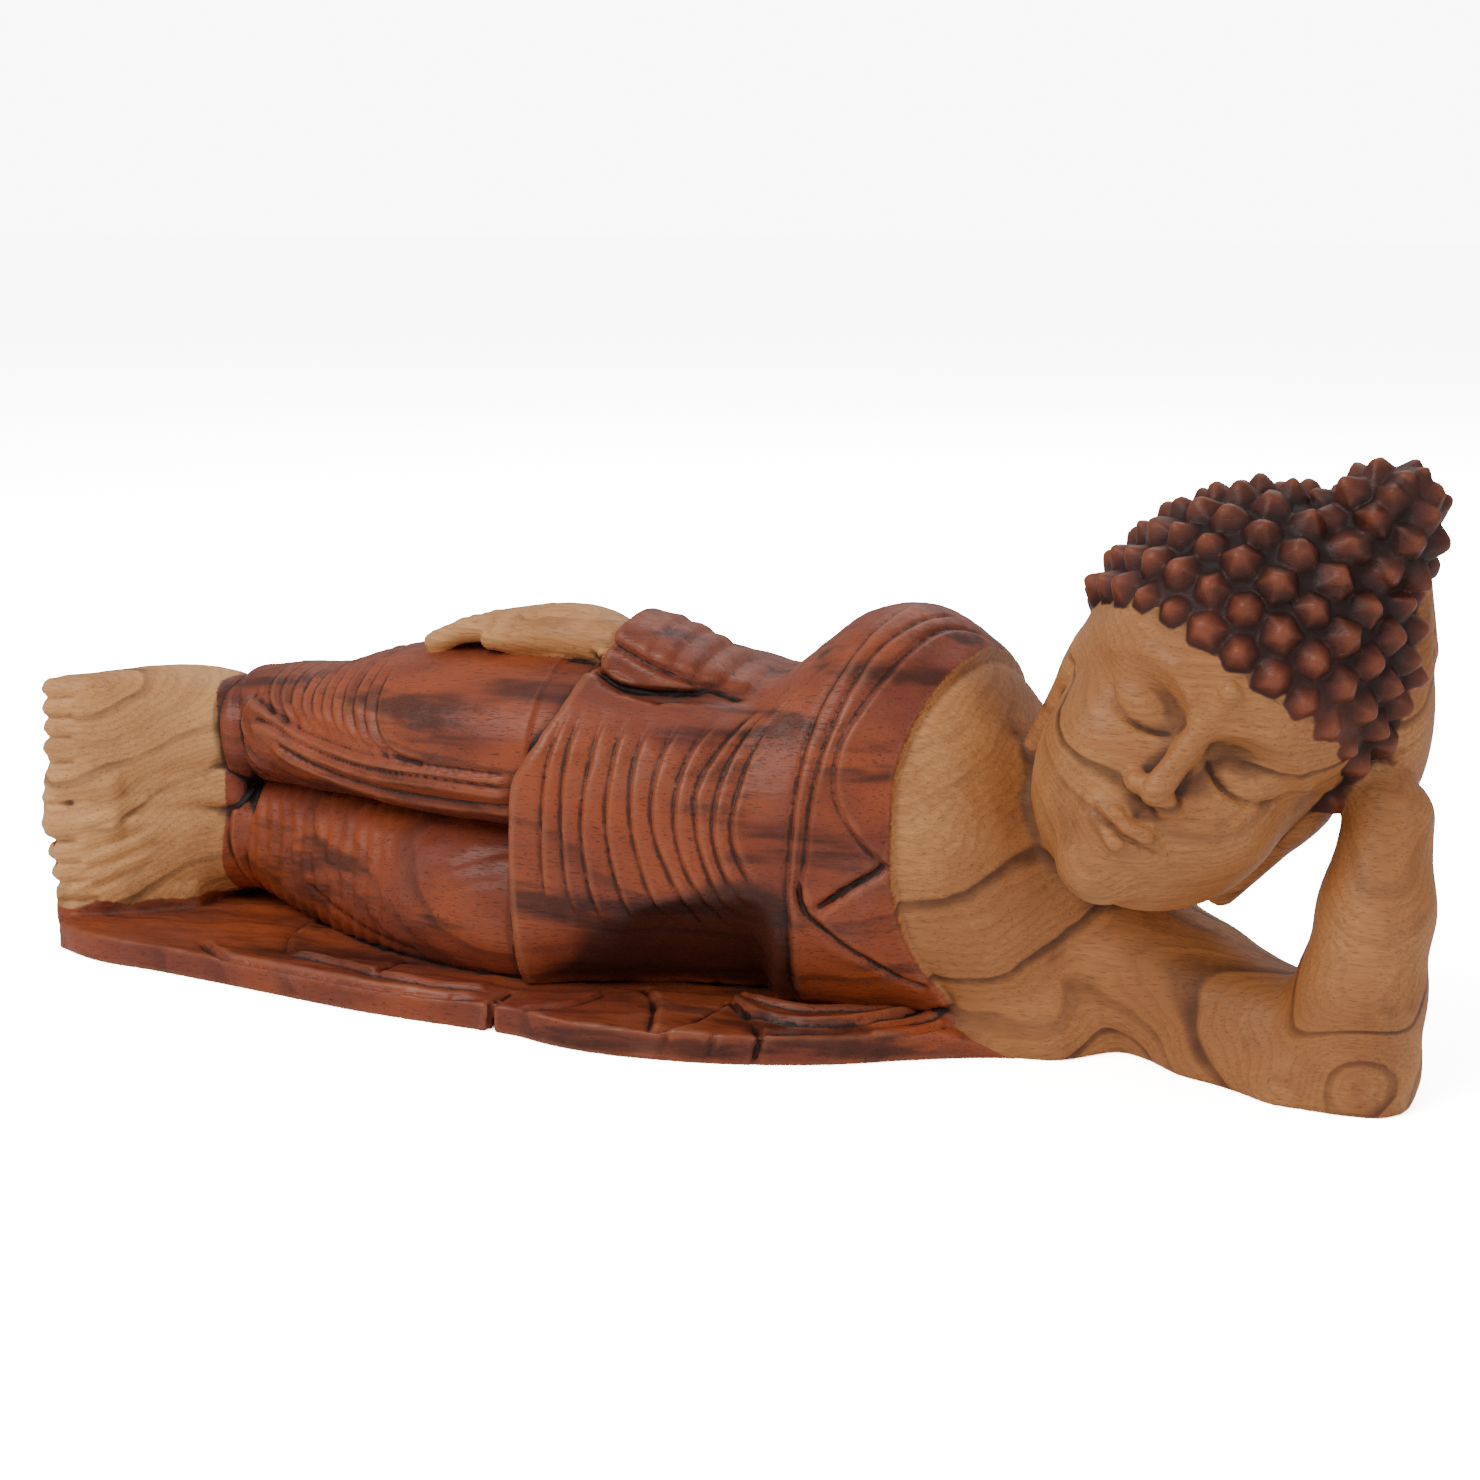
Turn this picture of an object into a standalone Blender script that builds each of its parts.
"""A reclining Buddha carved from one block of wood, lying on its left side on a cloth.

The figure lies along X with its feet at -X and its head at +X, and faces -Y. The left arm is
bent under the head: its elbow stands on the ground and its hand holds the head. The right arm
lies along the top of the body. Metres, +Z up, the flat underside at Z = 0.
"""

import math

import bmesh
import bpy
import numpy as np
from mathutils import Euler, Matrix, Vector

# Driving sizes of the carving.
STATUE_LENGTH = 0.400
CLOTH_THICKNESS = 0.008
KNOB_WIDTH = 0.0092
KNOB_HEIGHT = 0.0057
ROBE_THICKNESS = 0.0016
FOLD_DEPTH = 0.0016

# The figure's proportions are written in shares, of which this many make its length.
SHARES_OF_LENGTH = 404.5
SHARE = STATUE_LENGTH / SHARES_OF_LENGTH

# Fineness of the carving.
CLAY_VOXEL = 1.5 * SHARE
FACES_OF_BODY = 5100
FACE_CARE = 3e-6
KNOB_SIDES = 5
KNOB_SUNK = 0.3
KNOB_SPIN = 0.7


def clear_scene():
    for item in list(bpy.data.objects):
        bpy.data.objects.remove(item, do_unlink=True)


def at(x, y, z):
    """A place on the figure, from shares of its length."""
    return Vector((x, y, z)) * SHARE


def new_mesh_object(name, shape):
    mesh = bpy.data.meshes.new(name)
    shape.to_mesh(mesh)
    shape.free()
    made = bpy.data.objects.new(name, mesh)
    bpy.context.scene.collection.objects.link(made)
    return made


def eased(x, places, values):
    """A smooth curve through (places, values), flat beyond both ends."""
    places = np.asarray(places, float)
    values = np.asarray(values, float)
    slopes = np.gradient(values, places)
    x = np.clip(x, places[0], places[-1])
    i = np.clip(np.searchsorted(places, x) - 1, 0, len(places) - 2)
    width = places[i + 1] - places[i]
    t = (x - places[i]) / width
    low = (2 * t**3 - 3 * t**2 + 1) * values[i] + (t**3 - 2 * t**2 + t) * width * slopes[i]
    high = (-2 * t**3 + 3 * t**2) * values[i + 1] + (t**3 - t**2) * width * slopes[i + 1]
    return low + high


def ball(shape, centre, radii, turn=None):
    """An ellipsoid of clay, its radii along the axes of the rotation matrix turn."""
    scale = Matrix.Diagonal(Vector(radii) * SHARE).to_4x4()
    turned = turn.to_4x4() if turn else Matrix.Identity(4)
    matrix = Matrix.Translation(centre) @ turned @ scale
    bmesh.ops.create_icosphere(shape, subdivisions=3, radius=1.0, matrix=matrix)


def limb(shape, stations, steps=10):
    """A tapering round limb through stations of (place, radius), built up from balls."""
    for (start, start_radius), (end, end_radius) in zip(stations, stations[1:]):
        for k in range(steps + 1):
            t = k / steps
            radius = start_radius + (end_radius - start_radius) * t
            ball(shape, start.lerp(end, t), (radius, radius, radius))


def loft(shape, slices, step=4.0, points=40):
    """A closed form along X through slices of (x, front, back, low, high, squareness)."""
    table = np.array(slices, float)
    stations = np.linspace(table[0, 0], table[-1, 0], int((table[-1, 0] - table[0, 0]) / step) + 2)
    front, back, low, high, square = (eased(stations, table[:, 0], table[:, k]) for k in range(1, 6))
    rings = []
    for i, x in enumerate(stations):
        ring = []
        for k in range(points):
            angle = 2 * math.pi * k / points
            across = math.copysign(abs(math.cos(angle)) ** (2 / square[i]), math.cos(angle))
            up = math.copysign(abs(math.sin(angle)) ** (2 / square[i]), math.sin(angle))
            y = (front[i] + back[i]) / 2 + across * (back[i] - front[i]) / 2
            z = (low[i] + high[i]) / 2 + up * (high[i] - low[i]) / 2
            ring.append(shape.verts.new(at(x, y, z)))
        rings.append(ring)
    for first, second in zip(rings, rings[1:]):
        for k in range(points):
            shape.faces.new((first[k - 1], first[k], second[k], second[k - 1]))
    shape.faces.new(rings[0])
    shape.faces.new(reversed(rings[-1]))


# The cloth under the figure, a thin slab whose front edge swells towards the hips and whose back
# edge is drawn in at both ends.
CLOTH_FRONT = (
    (-193, -23), (-176, -31), (-154, -34.5), (-121, -41), (-79, -49.5), (-41, -53.5), (-32, -54.5),
    (-22, -58), (-4, -61), (12, -60.5), (28, -58.5), (43, -54.5), (58, -49), (72, -41.5), (97, -30),
)
CLOTH_BACK = ((97, 54), (77, 60), (-150, 56), (-186, 44), (-195, 20))
CLOTH_BELOW = 4


def add_cloth(shape):
    places, edges = zip(*CLOTH_FRONT)
    front = [(x, float(eased(x, places, edges))) for x in np.linspace(places[0], places[-1], 60)]
    below = -CLOTH_BELOW * SHARE
    floor = []
    for x, y in front + list(CLOTH_BACK):
        place = at(x, y, 0)
        place.z = below
        floor.append(shape.verts.new(place))
    made = bmesh.ops.extrude_face_region(shape, geom=[shape.faces.new(floor)])
    top = [v for v in made["geom"] if isinstance(v, bmesh.types.BMVert)]
    bmesh.ops.translate(shape, verts=top, vec=Vector((0, 0, CLOTH_THICKNESS - below)))


# Slices of the legs and the body: x, front, back, low, high, squareness.
LOWER_LEG = (
    (-150, 9, 46, 14, 46, 2.2),
    (-132, 1, 52, 7, 48, 2.3),
    (-108, -11, 56, 1, 49, 2.4),
    (-85, -22, 59, -2, 49, 2.5),
    (-60, -31, 62, -3, 50, 2.6),
    (-35, -33, 64, -3, 50, 2.6),
    (-15, -30, 64, -3, 50, 2.6),
)
UPPER_LEG = (
    (-150, 7, 48, 45, 78, 2.2),
    (-134, 0, 53, 46, 80, 2.2),
    (-118, -7, 55, 46, 81.5, 2.2),
    (-108, -11, 56, 46, 85, 2.2),
    (-98, -16, 58, 46, 88, 2.2),
    (-85, -22, 60, 45, 91, 2.2),
    (-60, -29, 62, 44, 93, 2.2),
    (-35, -32, 64, 43, 95, 2.2),
    (-15, -32, 64, 43, 95, 2.2),
)
TORSO = (
    (-37, -40, 65, -3, 96, 4.0),
    (-28, -41, 66, -2, 97, 2.9),
    (-10, -43, 67, 0, 97, 2.2),
    (12, -44, 67, 0, 93, 2.2),
    (26, -44, 66, -1, 91, 2.2),
    (38, -43, 65, -3, 100, 2.2),
    (47, -43, 63, -4, 107, 2.1),
    (56, -43, 61, -4, 110, 2.1),
    (66, -41, 59, -5, 110, 2.0),
    (82, -37, 55, -8, 100, 2.1),
    (95, -31, 49, -14, 84.5, 2.3),
    (108, -24, 42, -20, 71, 2.6),
    (122, -15, 32, -22, 54, 2.6),
    (136, -8, 24, -22, 40, 2.4),
)


def add_legs(shape):
    loft(shape, LOWER_LEG)
    loft(shape, UPPER_LEG)


# Slices of the feet, which lie one on the other, from the toes to the ankle.
UPPER_FOOT = (
    (-195, -17, -6, 42.5, 80, 4.0),
    (-186, -14, 8, 42.8, 80.5, 4.0),
    (-175, -8, 26, 43.5, 80.5, 3.4),
    (-163, 1, 42, 44, 78, 2.8),
    (-154, 6, 46, 44.5, 75, 2.4),
    (-144, 8, 48, 45, 76, 2.4),
)
LOWER_FOOT = (
    (-195, -17, -6, 3, 42, 4.0),
    (-186, -14, 8, 3, 43.5, 4.0),
    (-175, -8, 28, 4, 45, 3.4),
    (-163, 1, 44, 6, 46.5, 2.8),
    (-154, 6, 47, 9, 47, 2.4),
    (-144, 8, 48, 10, 47, 2.4),
)
# Toes of each foot, from the big one: height, radius and how far the tip reaches along X.
UPPER_TOES = (
    (48.6, 5.9, -201), (58.6, 3.5, -201), (64.9, 3.4, -200.6), (70.9, 3.3, -200.4), (76.8, 3.4, -200.2),
)
LOWER_TOES = (
    (35.8, 5.9, -202.5), (26.7, 3.5, -201.5), (20.4, 3.3, -200.6), (14.5, 3.3, -199), (8.8, 3.3, -196.5),
)
TOE_ROOT = (-182, -7)
TOE_TIP_FRONT = -12


def add_foot(shape, slices, toes):
    """A foot, its top towards the front, with its toes in a column at the -X end."""
    loft(shape, slices)
    for rise, radius, tip in toes:
        limb(shape, [(at(*TOE_ROOT, rise), radius), (at(tip + radius, TOE_TIP_FRONT, rise), radius)], 6)


# Above the thigh the loose end of the robe slants back, from this height and at this slope,
# fading out along the body.
SLANT_FROM = 64
SLANT = 0.42
SLANT_FADES_OVER = 60


def add_torso(shape):
    first = len(shape.verts)
    loft(shape, TORSO)
    shape.verts.ensure_lookup_table()
    for vert in list(shape.verts)[first:]:
        x, z = vert.co.x / SHARE, vert.co.z / SHARE
        slant = max(0.0, z - SLANT_FROM) * SLANT
        vert.co.x += slant * max(0.0, 1 - (x - TORSO[0][0]) / SLANT_FADES_OVER) * SHARE


# Slices of the sleeve, from its cuff on the thigh to the shoulder.
SLEEVE = (
    (-19, -15, 25, 80, 107.5, 2.3),
    (-8, -18, 26, 77, 105.5, 2.3),
    (3, -19, 27, 72, 101, 2.2),
    (14, -18, 29, 68, 94, 2.1),
    (28, -15, 33, 62, 90, 2.0),
    (50, -12, 38, 60, 101, 2.0),
)
PALM = ((-42, 16, 95.5), (22, 14.5, 10.5))
WRIST_IN_SLEEVE = (((-10, 6, 93), 8.5), ((-28, 11, 93.5), 8.8))
THUMB = (((-22, -1, 98), 6.8), ((-42, 0, 99), 5.6), ((-60.4, 1, 97.2), 3.3))
FINGERS = 4
FINGER_SPACING = 7.4
NEAR_FINGER = (((-56, 5.5, 100.3), 4.4), ((-70, 5.5, 98.4), 3.7), ((-82, 5.2, 94.4), 3.0))


def placed(stations, across=0.0):
    """Stations of a limb from shares of the length, moved along Y."""
    return [(at(x, y + across, z), radius) for (x, y, z), radius in stations]


def add_resting_arm(shape):
    """The right arm in its sleeve, and its hand flat on the thigh."""
    loft(shape, SLEEVE, step=2.0)
    ball(shape, at(*PALM[0]), PALM[1])
    limb(shape, placed(WRIST_IN_SLEEVE), steps=5)
    for finger in range(FINGERS):
        limb(shape, placed(NEAR_FINGER, FINGER_SPACING * finger), steps=6)
    limb(shape, placed(THUMB))


ELBOW = (184, -29, 8)
WRIST = (190, -22, 70)
UPPER_ARM = (((112, 4, 22), 27), ((141, -6, 15), 20), ((165, -18, 10), 17), (ELBOW, 16.5))
FOREARM = ((ELBOW, 16.5), ((186, -30, 27), 15), ((188.6, -28, 48), 13.2), (WRIST, 11))
# The underside of chest, arm and elbow, spread where it lies on the ground.
CHEST_ON_GROUND = (((86, -17, 4), 14), ((104, -14, 4), 15), ((118, -6, 4), 12))
ARM_ON_GROUND = (((128, -2, 4), 12), ((150, -17, 3), 14.5), ((172, -31, 2), 13), ((190.5, -37.5, 1), 8))
PROPPING_PALM = ((190, -8, 94), (9, 16, 25))
HEEL_OF_HAND = ((WRIST, 10), ((182, -18, 82), 8.5))
EDGE_FINGER = (((193, -12, 106), 5.2), ((191, -8, 129), 4.2))


def add_propping_arm(shape):
    """The left arm: shoulder and elbow on the ground, forearm up, palm behind the head."""
    for stations in (UPPER_ARM, FOREARM, CHEST_ON_GROUND, ARM_ON_GROUND, HEEL_OF_HAND):
        limb(shape, placed(stations))
    ball(shape, at(*PROPPING_PALM[0]), PROPPING_PALM[1])
    for finger in range(FINGERS):
        limb(shape, placed(EDGE_FINGER, FINGER_SPACING * finger), steps=5)


# The head leans to +X on the propping hand and nods a little: its own axes are
# left (towards the propping hand), forward (the way the face looks) and up (the crown).
HEAD_CENTRE = (146, -20, 94)
HEAD_LEAN = math.radians(34)
HEAD_NOD = math.radians(12)
HEAD_SIZE = 1.09


def head_axes():
    left = Vector((math.cos(HEAD_LEAN), 0, -math.sin(HEAD_LEAN)))
    level = Vector((0, -1, 0))
    crown = Vector((math.sin(HEAD_LEAN), 0, math.cos(HEAD_LEAN)))
    forward = level * math.cos(HEAD_NOD) - crown * math.sin(HEAD_NOD)
    up = crown * math.cos(HEAD_NOD) + level * math.sin(HEAD_NOD)
    return left, forward, up


def on_head(left, forward, up):
    axes = head_axes()
    centre = at(*HEAD_CENTRE)
    return centre + (axes[0] * left + axes[1] * forward + axes[2] * up) * HEAD_SIZE * SHARE


def head_turn():
    return Matrix(head_axes()).transposed()


# Balls in the head's own axes: centre and radii.
SKULL = ((-1.5, -7, 9), (36, 36, 43))
JAW = ((0, 7, -20), (30, 28, 32))
TOPKNOT = ((4.5, -12, 45), (13.5, 13.5, 22))
BROW = ((0, 22, 6), (28, 12, 22))
LIPS = ((0, 31, -30), (10, 5.5, 4.6))
CHIN = ((0, 24, -42), (11, 9, 8))
BROW_MARK = ((0, 31, 17), (2.8, 3.2, 2.8))
CHEEK = ((15, 22, -12), (13, 11, 13))
NOSTRIL = ((4.5, 35, -18), (4.0, 4.0, 3.4))
CLOSED_EYE = ((13, 27, -3), (8.5, 6, 4.5))
EAR = ((31, -6, -2), (5, 10, 15))
NOSE = (((0, 32, 4), 3.0), ((0, 38.5, -17), 4.6))
EAR_LOBE = (((31, -5, -8), 5), ((26, -3, -38), 4.2))


def add_head(shape):
    turn = head_turn()

    def head_ball(centre, radii, side=1):
        place = on_head(side * centre[0], *centre[1:])
        ball(shape, place, [radius * HEAD_SIZE for radius in radii], turn)

    def head_limb(stations, side=1):
        scaled = [(on_head(side * x, y, z), radius * HEAD_SIZE) for (x, y, z), radius in stations]
        limb(shape, scaled, steps=6)

    for egg in (SKULL, JAW, TOPKNOT, BROW, LIPS, CHIN, BROW_MARK):
        head_ball(*egg)
    head_limb(NOSE)
    for side in (-1, 1):
        for egg in (CHEEK, NOSTRIL, CLOSED_EYE, EAR):
            head_ball(*egg, side)
        head_limb(EAR_LOBE, side)


NECK = (((104, 2, 54), 25), ((134, -8, 72), 22))


def add_neck(shape):
    limb(shape, placed(NECK), steps=6)


def remeshed(made):
    """Fuses the overlapping forms of an object into one smooth skin."""
    fuse = made.modifiers.new("Fuse", "REMESH")
    fuse.mode = "VOXEL"
    fuse.voxel_size = CLAY_VOXEL
    smooth = made.modifiers.new("Smooth", "SMOOTH")
    smooth.factor = 0.5
    smooth.iterations = 5
    return baked(made)


def outer_skin(made):
    """Fills any hollow closed in between the forms, by keeping only the largest shell."""
    shape = bmesh.new()
    shape.from_mesh(made.data)
    left = set(shape.verts)
    shells = []
    while left:
        start = left.pop()
        shell = {start}
        edge_of_search = [start]
        while edge_of_search:
            vert = edge_of_search.pop()
            near = {edge.other_vert(vert) for edge in vert.link_edges} & left
            left -= near
            shell |= near
            edge_of_search.extend(near)
        shells.append(shell)
    shells.sort(key=len)
    inner = [vert for shell in shells[:-1] for vert in shell]
    bmesh.ops.delete(shape, geom=inner, context="VERTS")
    shape.to_mesh(made.data)
    shape.free()
    return made


def baked(made):
    """Puts an object's evaluated mesh in place of its own, and drops its modifiers."""
    graph = bpy.context.evaluated_depsgraph_get()
    result = bpy.data.meshes.new_from_object(made.evaluated_get(graph))
    old = made.data
    made.modifiers.clear()
    made.data = result
    bpy.data.meshes.remove(old)
    return made


# Where the robe's edge crosses the body: its place along X by the angle round the body,
# which is 0 at the front, 90 on top and 180 at the back.
BODY_AXIS = (10, 50)
ROBE_EDGE = (
    (-180, 80), (-150, 76), (-120, 80), (-90, 92), (-60, 95), (-42, 81), (-28, 74), (-8, 69),
    (13, 68), (29, 68), (43, 71), (56, 77), (72, 86), (90, 92), (120, 96), (150, 92), (180, 80),
)
ROBE_END = -150
LOOSE_END = -37
CLEAR_OF_CLOTH = 9

# Hems that run beside the robe's edge, down to an angle below the front.
HEM_SPACING = (7.5, 14.5, 24)
HEM_WIDTH = 1.9
HEM_DEPTH = 0.8
HEM_LOWEST = -32

# Ribs of the robe: spacing, depth in folds, slope and bend of the line with height, and the
# spans along X and Z that they cover. Over the body, the thighs, the shins and the sleeve.
RIBS = (
    (8.4, 0.5, 0, 0.0125, (-24, 40), (28, 90)),
    (8.0, 0.4, 0.35, 0, (-134, -44), (62, 100)),
    (9.5, 0.5, 0.2, 0, (-144, -86), (9, 46)),
    (6.6, 0.5, 0, 0, (-16, 28), (94, 120)),
)
RIB_FADES_OVER = 8

# Single carved folds on the front, as lines through (x, z), with their width and depth in folds:
# the pleats over the belly, two long hems on the thigh, and the gap under the cuff.
FOLDS = (
    (((51, 72), (66, 54), (44, 40), (74, 22)), 2.2, 1.2),
    (((-146, 72), (-110, 62), (-60, 55)), 1.6, 1.0),
    (((-143, 66), (-105, 57), (-70, 52)), 1.6, 1.0),
    (((-22, 93), (-8, 88.5), (2, 88), (12, 89)), 1.6, 1.2),
)


def stepped(value, width):
    """0 below zero, 1 above it, with a soft edge of the given width."""
    t = np.clip(value / width + 0.5, 0, 1)
    return t * t * (3 - 2 * t)


def band(value, span, fade):
    """1 inside a span of values and 0 outside it, with soft edges."""
    return stepped(value - span[0], fade) * stepped(span[1] - value, fade)


def groove(distance, width):
    """The depth of a carved line at a distance from it, 1 in the middle."""
    return np.exp(-((distance / width) ** 2))


def line_distance(a, b, points):
    """The distance in the (a, b) plane from a line through points."""
    nearest = np.full(len(a), np.inf)
    for (a0, b0), (a1, b1) in zip(points, points[1:]):
        length = (a1 - a0) ** 2 + (b1 - b0) ** 2
        t = np.clip(((a - a0) * (a1 - a0) + (b - b0) * (b1 - b0)) / length, 0, 1)
        nearest = np.minimum(nearest, np.hypot(a - a0 - t * (a1 - a0), b - b0 - t * (b1 - b0)))
    return nearest


def carve(made):
    """Cuts the robe's edge, hems and folds into the clay by moving its points along their normals."""
    mesh = made.data
    points = np.empty(len(mesh.vertices) * 3)
    normals = np.empty(len(mesh.vertices) * 3)
    mesh.vertices.foreach_get("co", points)
    mesh.vertices.foreach_get("normal", normals)
    points = points.reshape(-1, 3)
    normals = normals.reshape(-1, 3)
    x, y, z = (points / SHARE).T
    angle = np.degrees(np.arctan2(z - BODY_AXIS[1], BODY_AXIS[0] - y))
    edge = eased(angle, *zip(*ROBE_EDGE))
    robed = stepped(edge - x, 2) * stepped(x - ROBE_END, 2) * (z > CLEAR_OF_CLOTH)
    on_body = robed * stepped(x - LOOSE_END, 4)
    on_front = robed * stepped(-normals[:, 1] - 0.1, 0.2)
    raised = ROBE_THICKNESS * robed
    for spacing in HEM_SPACING:
        hem = groove(edge - spacing - x, HEM_WIDTH) * on_body * (angle > HEM_LOWEST)
        raised -= HEM_DEPTH * FOLD_DEPTH * hem
    for spacing, depth, slope, bend, across, up in RIBS:
        rise = z - BODY_AXIS[1]
        wave = np.sin((x + slope * rise - bend * rise**2) * 2 * math.pi / spacing)
        covered = band(x, across, RIB_FADES_OVER) * band(z, up, RIB_FADES_OVER / 2)
        raised += depth * FOLD_DEPTH * wave * covered * robed
    for line, width, depth in FOLDS:
        raised -= depth * FOLD_DEPTH * groove(line_distance(x, z, line), width) * on_front
    points += normals * raised[:, None]
    mesh.vertices.foreach_set("co", points.reshape(-1))
    mesh.update()
    return made


# The face keeps its small faces within this reach of its middle, and the rest is thinned.
MIDDLE_OF_FACE = (0, 26, -10)
FACE_REACH = 34
FACE_FADES_OVER = 20


def thinned(made):
    """Keeps as many faces as the forms need, most of them along the folds and on the face."""
    mesh = made.data
    mesh.calc_loop_triangles()
    coarse = made.vertex_groups.new(name="Coarse")
    middle = on_head(*MIDDLE_OF_FACE)
    for vert in mesh.vertices:
        distance = (vert.co - middle).length / SHARE
        coarse.add([vert.index], float(stepped(distance - FACE_REACH, FACE_FADES_OVER)), "REPLACE")
    fewer = made.modifiers.new("Fewer faces", "DECIMATE")
    fewer.vertex_group = coarse.name
    fewer.vertex_group_factor = FACE_CARE
    fewer.ratio = FACES_OF_BODY / len(mesh.loop_triangles)
    return baked(made)


def levelled(made):
    """Cuts the underside flat at the ground."""
    shape = bmesh.new()
    size = Matrix.Diagonal(Vector((3, 3, 1)) * STATUE_LENGTH).to_4x4()
    place = Matrix.Translation((0, 0, -STATUE_LENGTH / 2))
    bmesh.ops.create_cube(shape, size=1.0, matrix=place @ size)
    ground = new_mesh_object("ground", shape)
    cut = made.modifiers.new("Flat underside", "BOOLEAN")
    cut.operation = "DIFFERENCE"
    cut.object = ground
    baked(made)
    bpy.data.objects.remove(ground, do_unlink=True)
    return made


# The knobs of hair stand in rings round an axis that leans back from the crown, and cover
# the head down to a hairline that slopes from the forehead to the nape.
HAIR_LEAN = math.radians(36)
HAIRLINE = 1.5
RING_SPACING = 8.8
RINGS_ON_SKULL = 11
RINGS_ON_TOPKNOT = 5
LOWEST_RING = 0.16
KNOB_CLEARANCE = 2


def within(place, egg):
    """Whether a place lies inside one of the head's eggs, or just outside it."""
    centre, radii = (np.array(v, float) for v in egg)
    return np.linalg.norm((place - centre) / (radii + KNOB_CLEARANCE)) < 1


def ring_of_knobs(egg, tilt, odd, axis):
    """(place, outward direction) of the knobs in a ring on an egg, at an angle from an axis."""
    centre, radii = (np.array(v, float) for v in egg)
    side = np.array((1.0, 0, 0))
    front = np.cross(side, axis)
    girth = 2 * math.pi * (radii[0] + radii[2]) / 2 * math.sin(tilt)
    around = max(1, round(girth / RING_SPACING))
    for k in range(around):
        turn = 2 * math.pi * (k + 0.5 * odd) / around
        way = axis * math.cos(tilt) + math.sin(tilt) * (side * math.cos(turn) + front * math.sin(turn))
        reach = 1 / np.linalg.norm(way / radii)
        outward = way / radii**2
        yield centre + way * reach, outward / np.linalg.norm(outward)


def hair_places():
    """(place, outward direction) of each knob of hair, in the head's own axes."""
    places = []
    axis = np.array((0, -math.sin(HAIR_LEAN), math.cos(HAIR_LEAN)))
    crown = np.array((0, 0, 1.0))
    height = SKULL[1][2]
    for ring in range(1, RINGS_ON_SKULL + 1):
        for place, outward in ring_of_knobs(SKULL, ring * RING_SPACING / height, ring % 2, axis):
            if place @ axis > HAIRLINE and not within(place, TOPKNOT):
                places.append((place, outward))
    for ring in range(RINGS_ON_TOPKNOT):
        tilt = (math.pi / 2 - LOWEST_RING) * (1 - ring / RINGS_ON_TOPKNOT)
        for place, outward in ring_of_knobs(TOPKNOT, tilt, ring % 2, crown):
            if not within(place, SKULL):
                places.append((place, outward))
    places.append((np.array(TOPKNOT[0]) + crown * TOPKNOT[1][2], crown))
    return places


def add_hair(made):
    """Joins the knobs of hair to the head, each a low pyramid with a few flat sides."""
    shape = bmesh.new()
    turn = head_turn()
    sunk = KNOB_SUNK * KNOB_HEIGHT
    depth = KNOB_HEIGHT + sunk
    for count, (place, outward) in enumerate(hair_places()):
        direction = turn @ Vector(outward)
        centre = on_head(*place) + direction * (depth / 2 - sunk)
        stand = direction.to_track_quat("Z", "Y").to_matrix().to_4x4()
        spin = Matrix.Rotation(KNOB_SPIN * count, 4, "Z")
        bmesh.ops.create_cone(
            shape,
            cap_ends=True,
            segments=KNOB_SIDES,
            radius1=0.5 * KNOB_WIDTH * depth / KNOB_HEIGHT,
            radius2=0,
            depth=depth,
            matrix=Matrix.Translation(centre) @ stand @ spin,
        )
    knobs = new_mesh_object("knobs", shape)
    join = made.modifiers.new("Hair", "BOOLEAN")
    join.operation = "UNION"
    join.object = knobs
    join.use_self = True
    baked(made)
    bpy.data.objects.remove(knobs, do_unlink=True)
    return made


HEEL_OF_LOWER_FOOT = ((-156, 40, 10), (22, 15, 16))


def sculpted_body():
    shape = bmesh.new()
    add_cloth(shape)
    add_legs(shape)
    add_foot(shape, LOWER_FOOT, LOWER_TOES)
    ball(shape, at(*HEEL_OF_LOWER_FOOT[0]), HEEL_OF_LOWER_FOOT[1])
    add_foot(shape, UPPER_FOOT, UPPER_TOES)
    add_torso(shape)
    add_resting_arm(shape)
    add_propping_arm(shape)
    add_neck(shape)
    add_head(shape)
    return outer_skin(remeshed(new_mesh_object("reclining_buddha", shape)))


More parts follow.
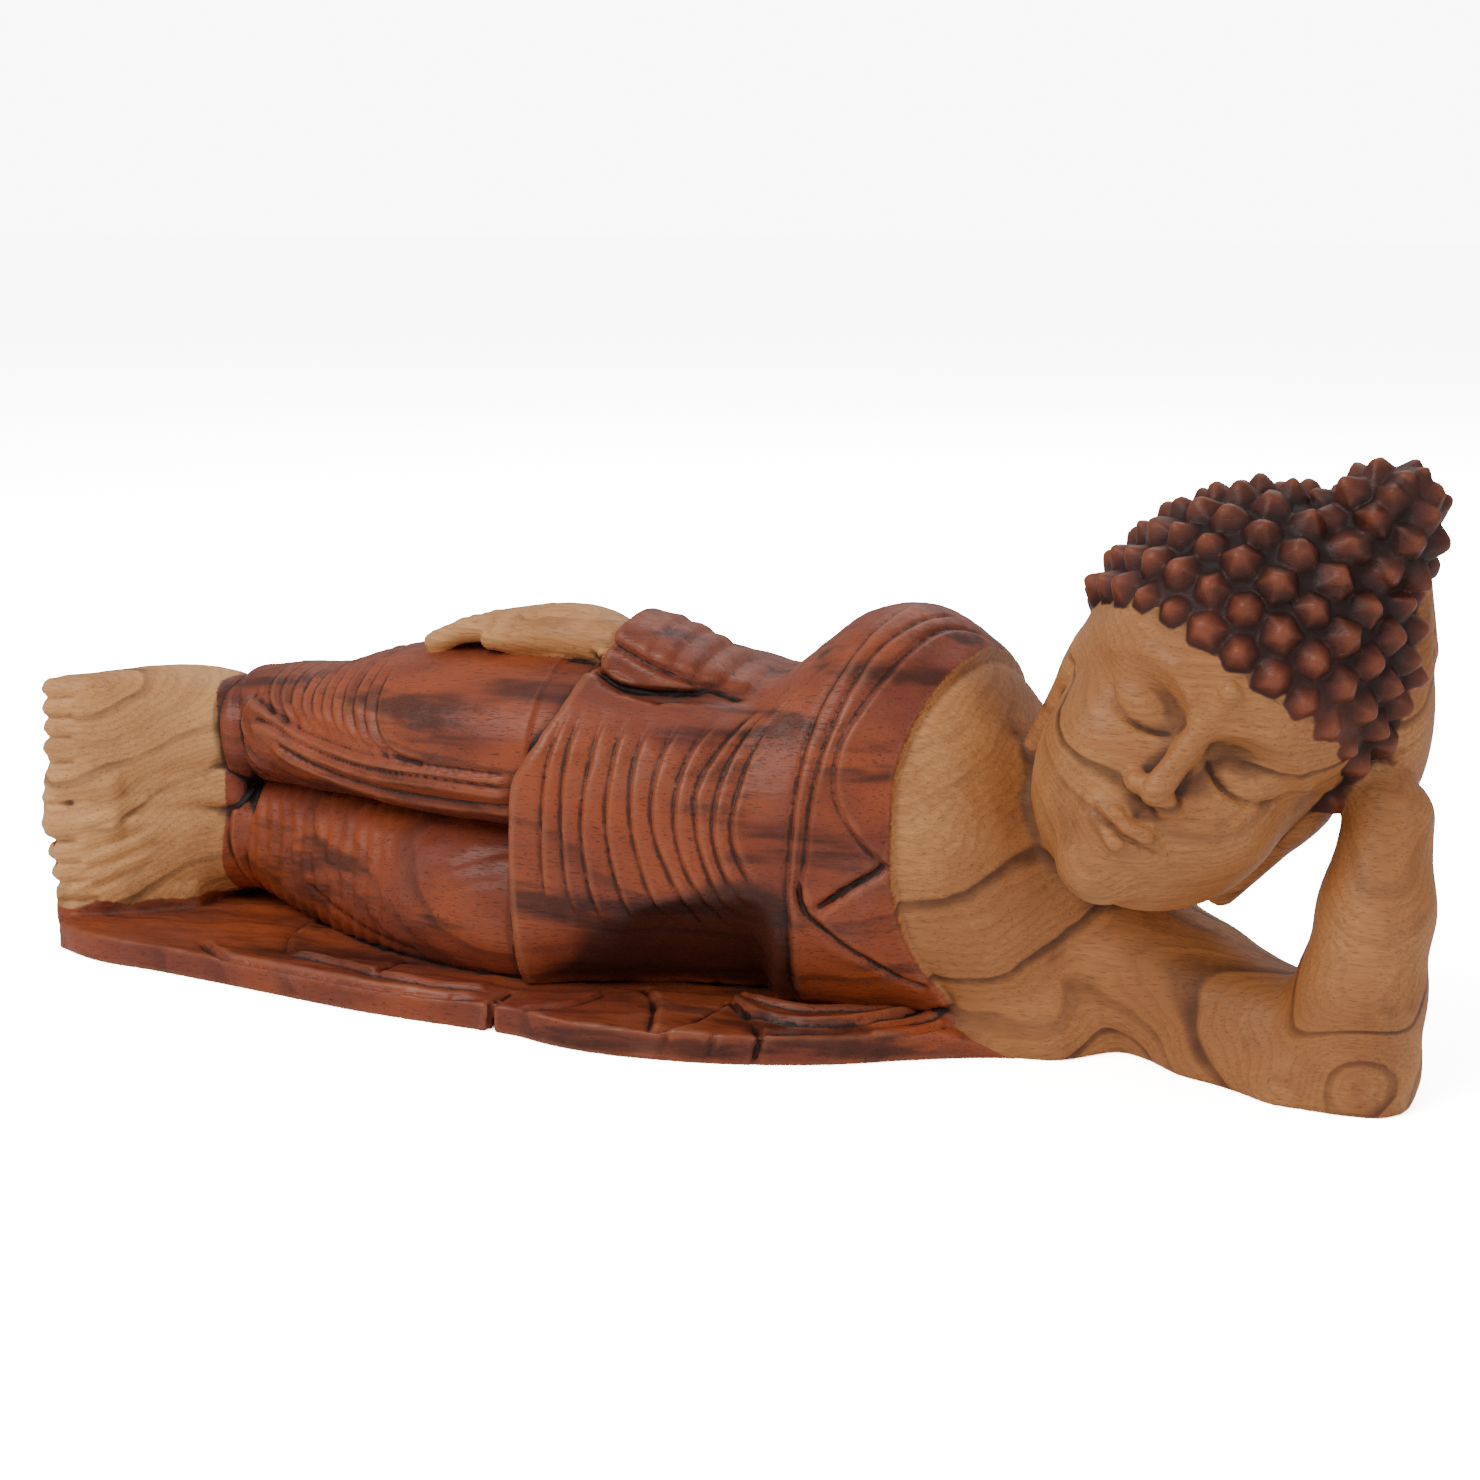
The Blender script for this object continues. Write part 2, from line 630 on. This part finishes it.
def wood(name, colour, roughness):
    made = bpy.data.materials.new(name)
    made.use_nodes = True
    shader = made.node_tree.nodes["Principled BSDF"]
    shader.inputs["Base Color"].default_value = (*colour, 1)
    shader.inputs["Roughness"].default_value = roughness
    shader.inputs["Metallic"].default_value = 0
    return made


# Where the stain stops: the resting hand above the thigh, and the hair behind its line.
HAND_SPAN = (-88, -19)
HAND_ABOVE = 96
HAIR_FROM = 110
HAIR_MARGIN = 4
EDGE_OF_HAIR = 40


def stain(made):
    """The bare wood of the skin, the red-brown stain of the robe and cloth, and the dark hair."""
    mesh = made.data
    mesh.materials.clear()
    mesh.materials.append(wood("bare wood", (0.47, 0.27, 0.12), 0.5))
    mesh.materials.append(wood("stained robe", (0.21, 0.05, 0.02), 0.45))
    mesh.materials.append(wood("stained hair", (0.12, 0.035, 0.018), 0.5))
    lean = np.array((0, -math.sin(HAIR_LEAN), math.cos(HAIR_LEAN)))
    to_head = head_turn().transposed()
    for face in mesh.polygons:
        x, y, z = face.center / SHARE
        on_skull = np.array(to_head @ (face.center - at(*HEAD_CENTRE))) / (SHARE * HEAD_SIZE)
        angle = math.degrees(math.atan2(z - BODY_AXIS[1], BODY_AXIS[0] - y))
        cloth = z < CLEAR_OF_CLOTH and x < CLOTH_FRONT[-1][0]
        robed = ROBE_END - 1 < x < eased(np.array(angle), *zip(*ROBE_EDGE))
        hand = HAND_SPAN[0] < x < HAND_SPAN[1] and z > HAND_ABOVE
        if x > HAIR_FROM and on_skull @ lean > HAIRLINE - HAIR_MARGIN and on_skull[1] < EDGE_OF_HAIR:
            face.material_index = 2
        elif cloth or (robed and not hand):
            face.material_index = 1
    return made


def centred(made):
    """Stands the middle of the statue's box over the origin."""
    corners = np.array([tuple(v.co) for v in made.data.vertices])
    middle = (corners.min(axis=0) + corners.max(axis=0)) / 2
    made.data.transform(Matrix.Translation((-middle[0], -middle[1], 0)))
    return made


def main():
    clear_scene()
    statue = outer_skin(add_hair(levelled(thinned(carve(sculpted_body())))))
    centred(stain(statue))


main()
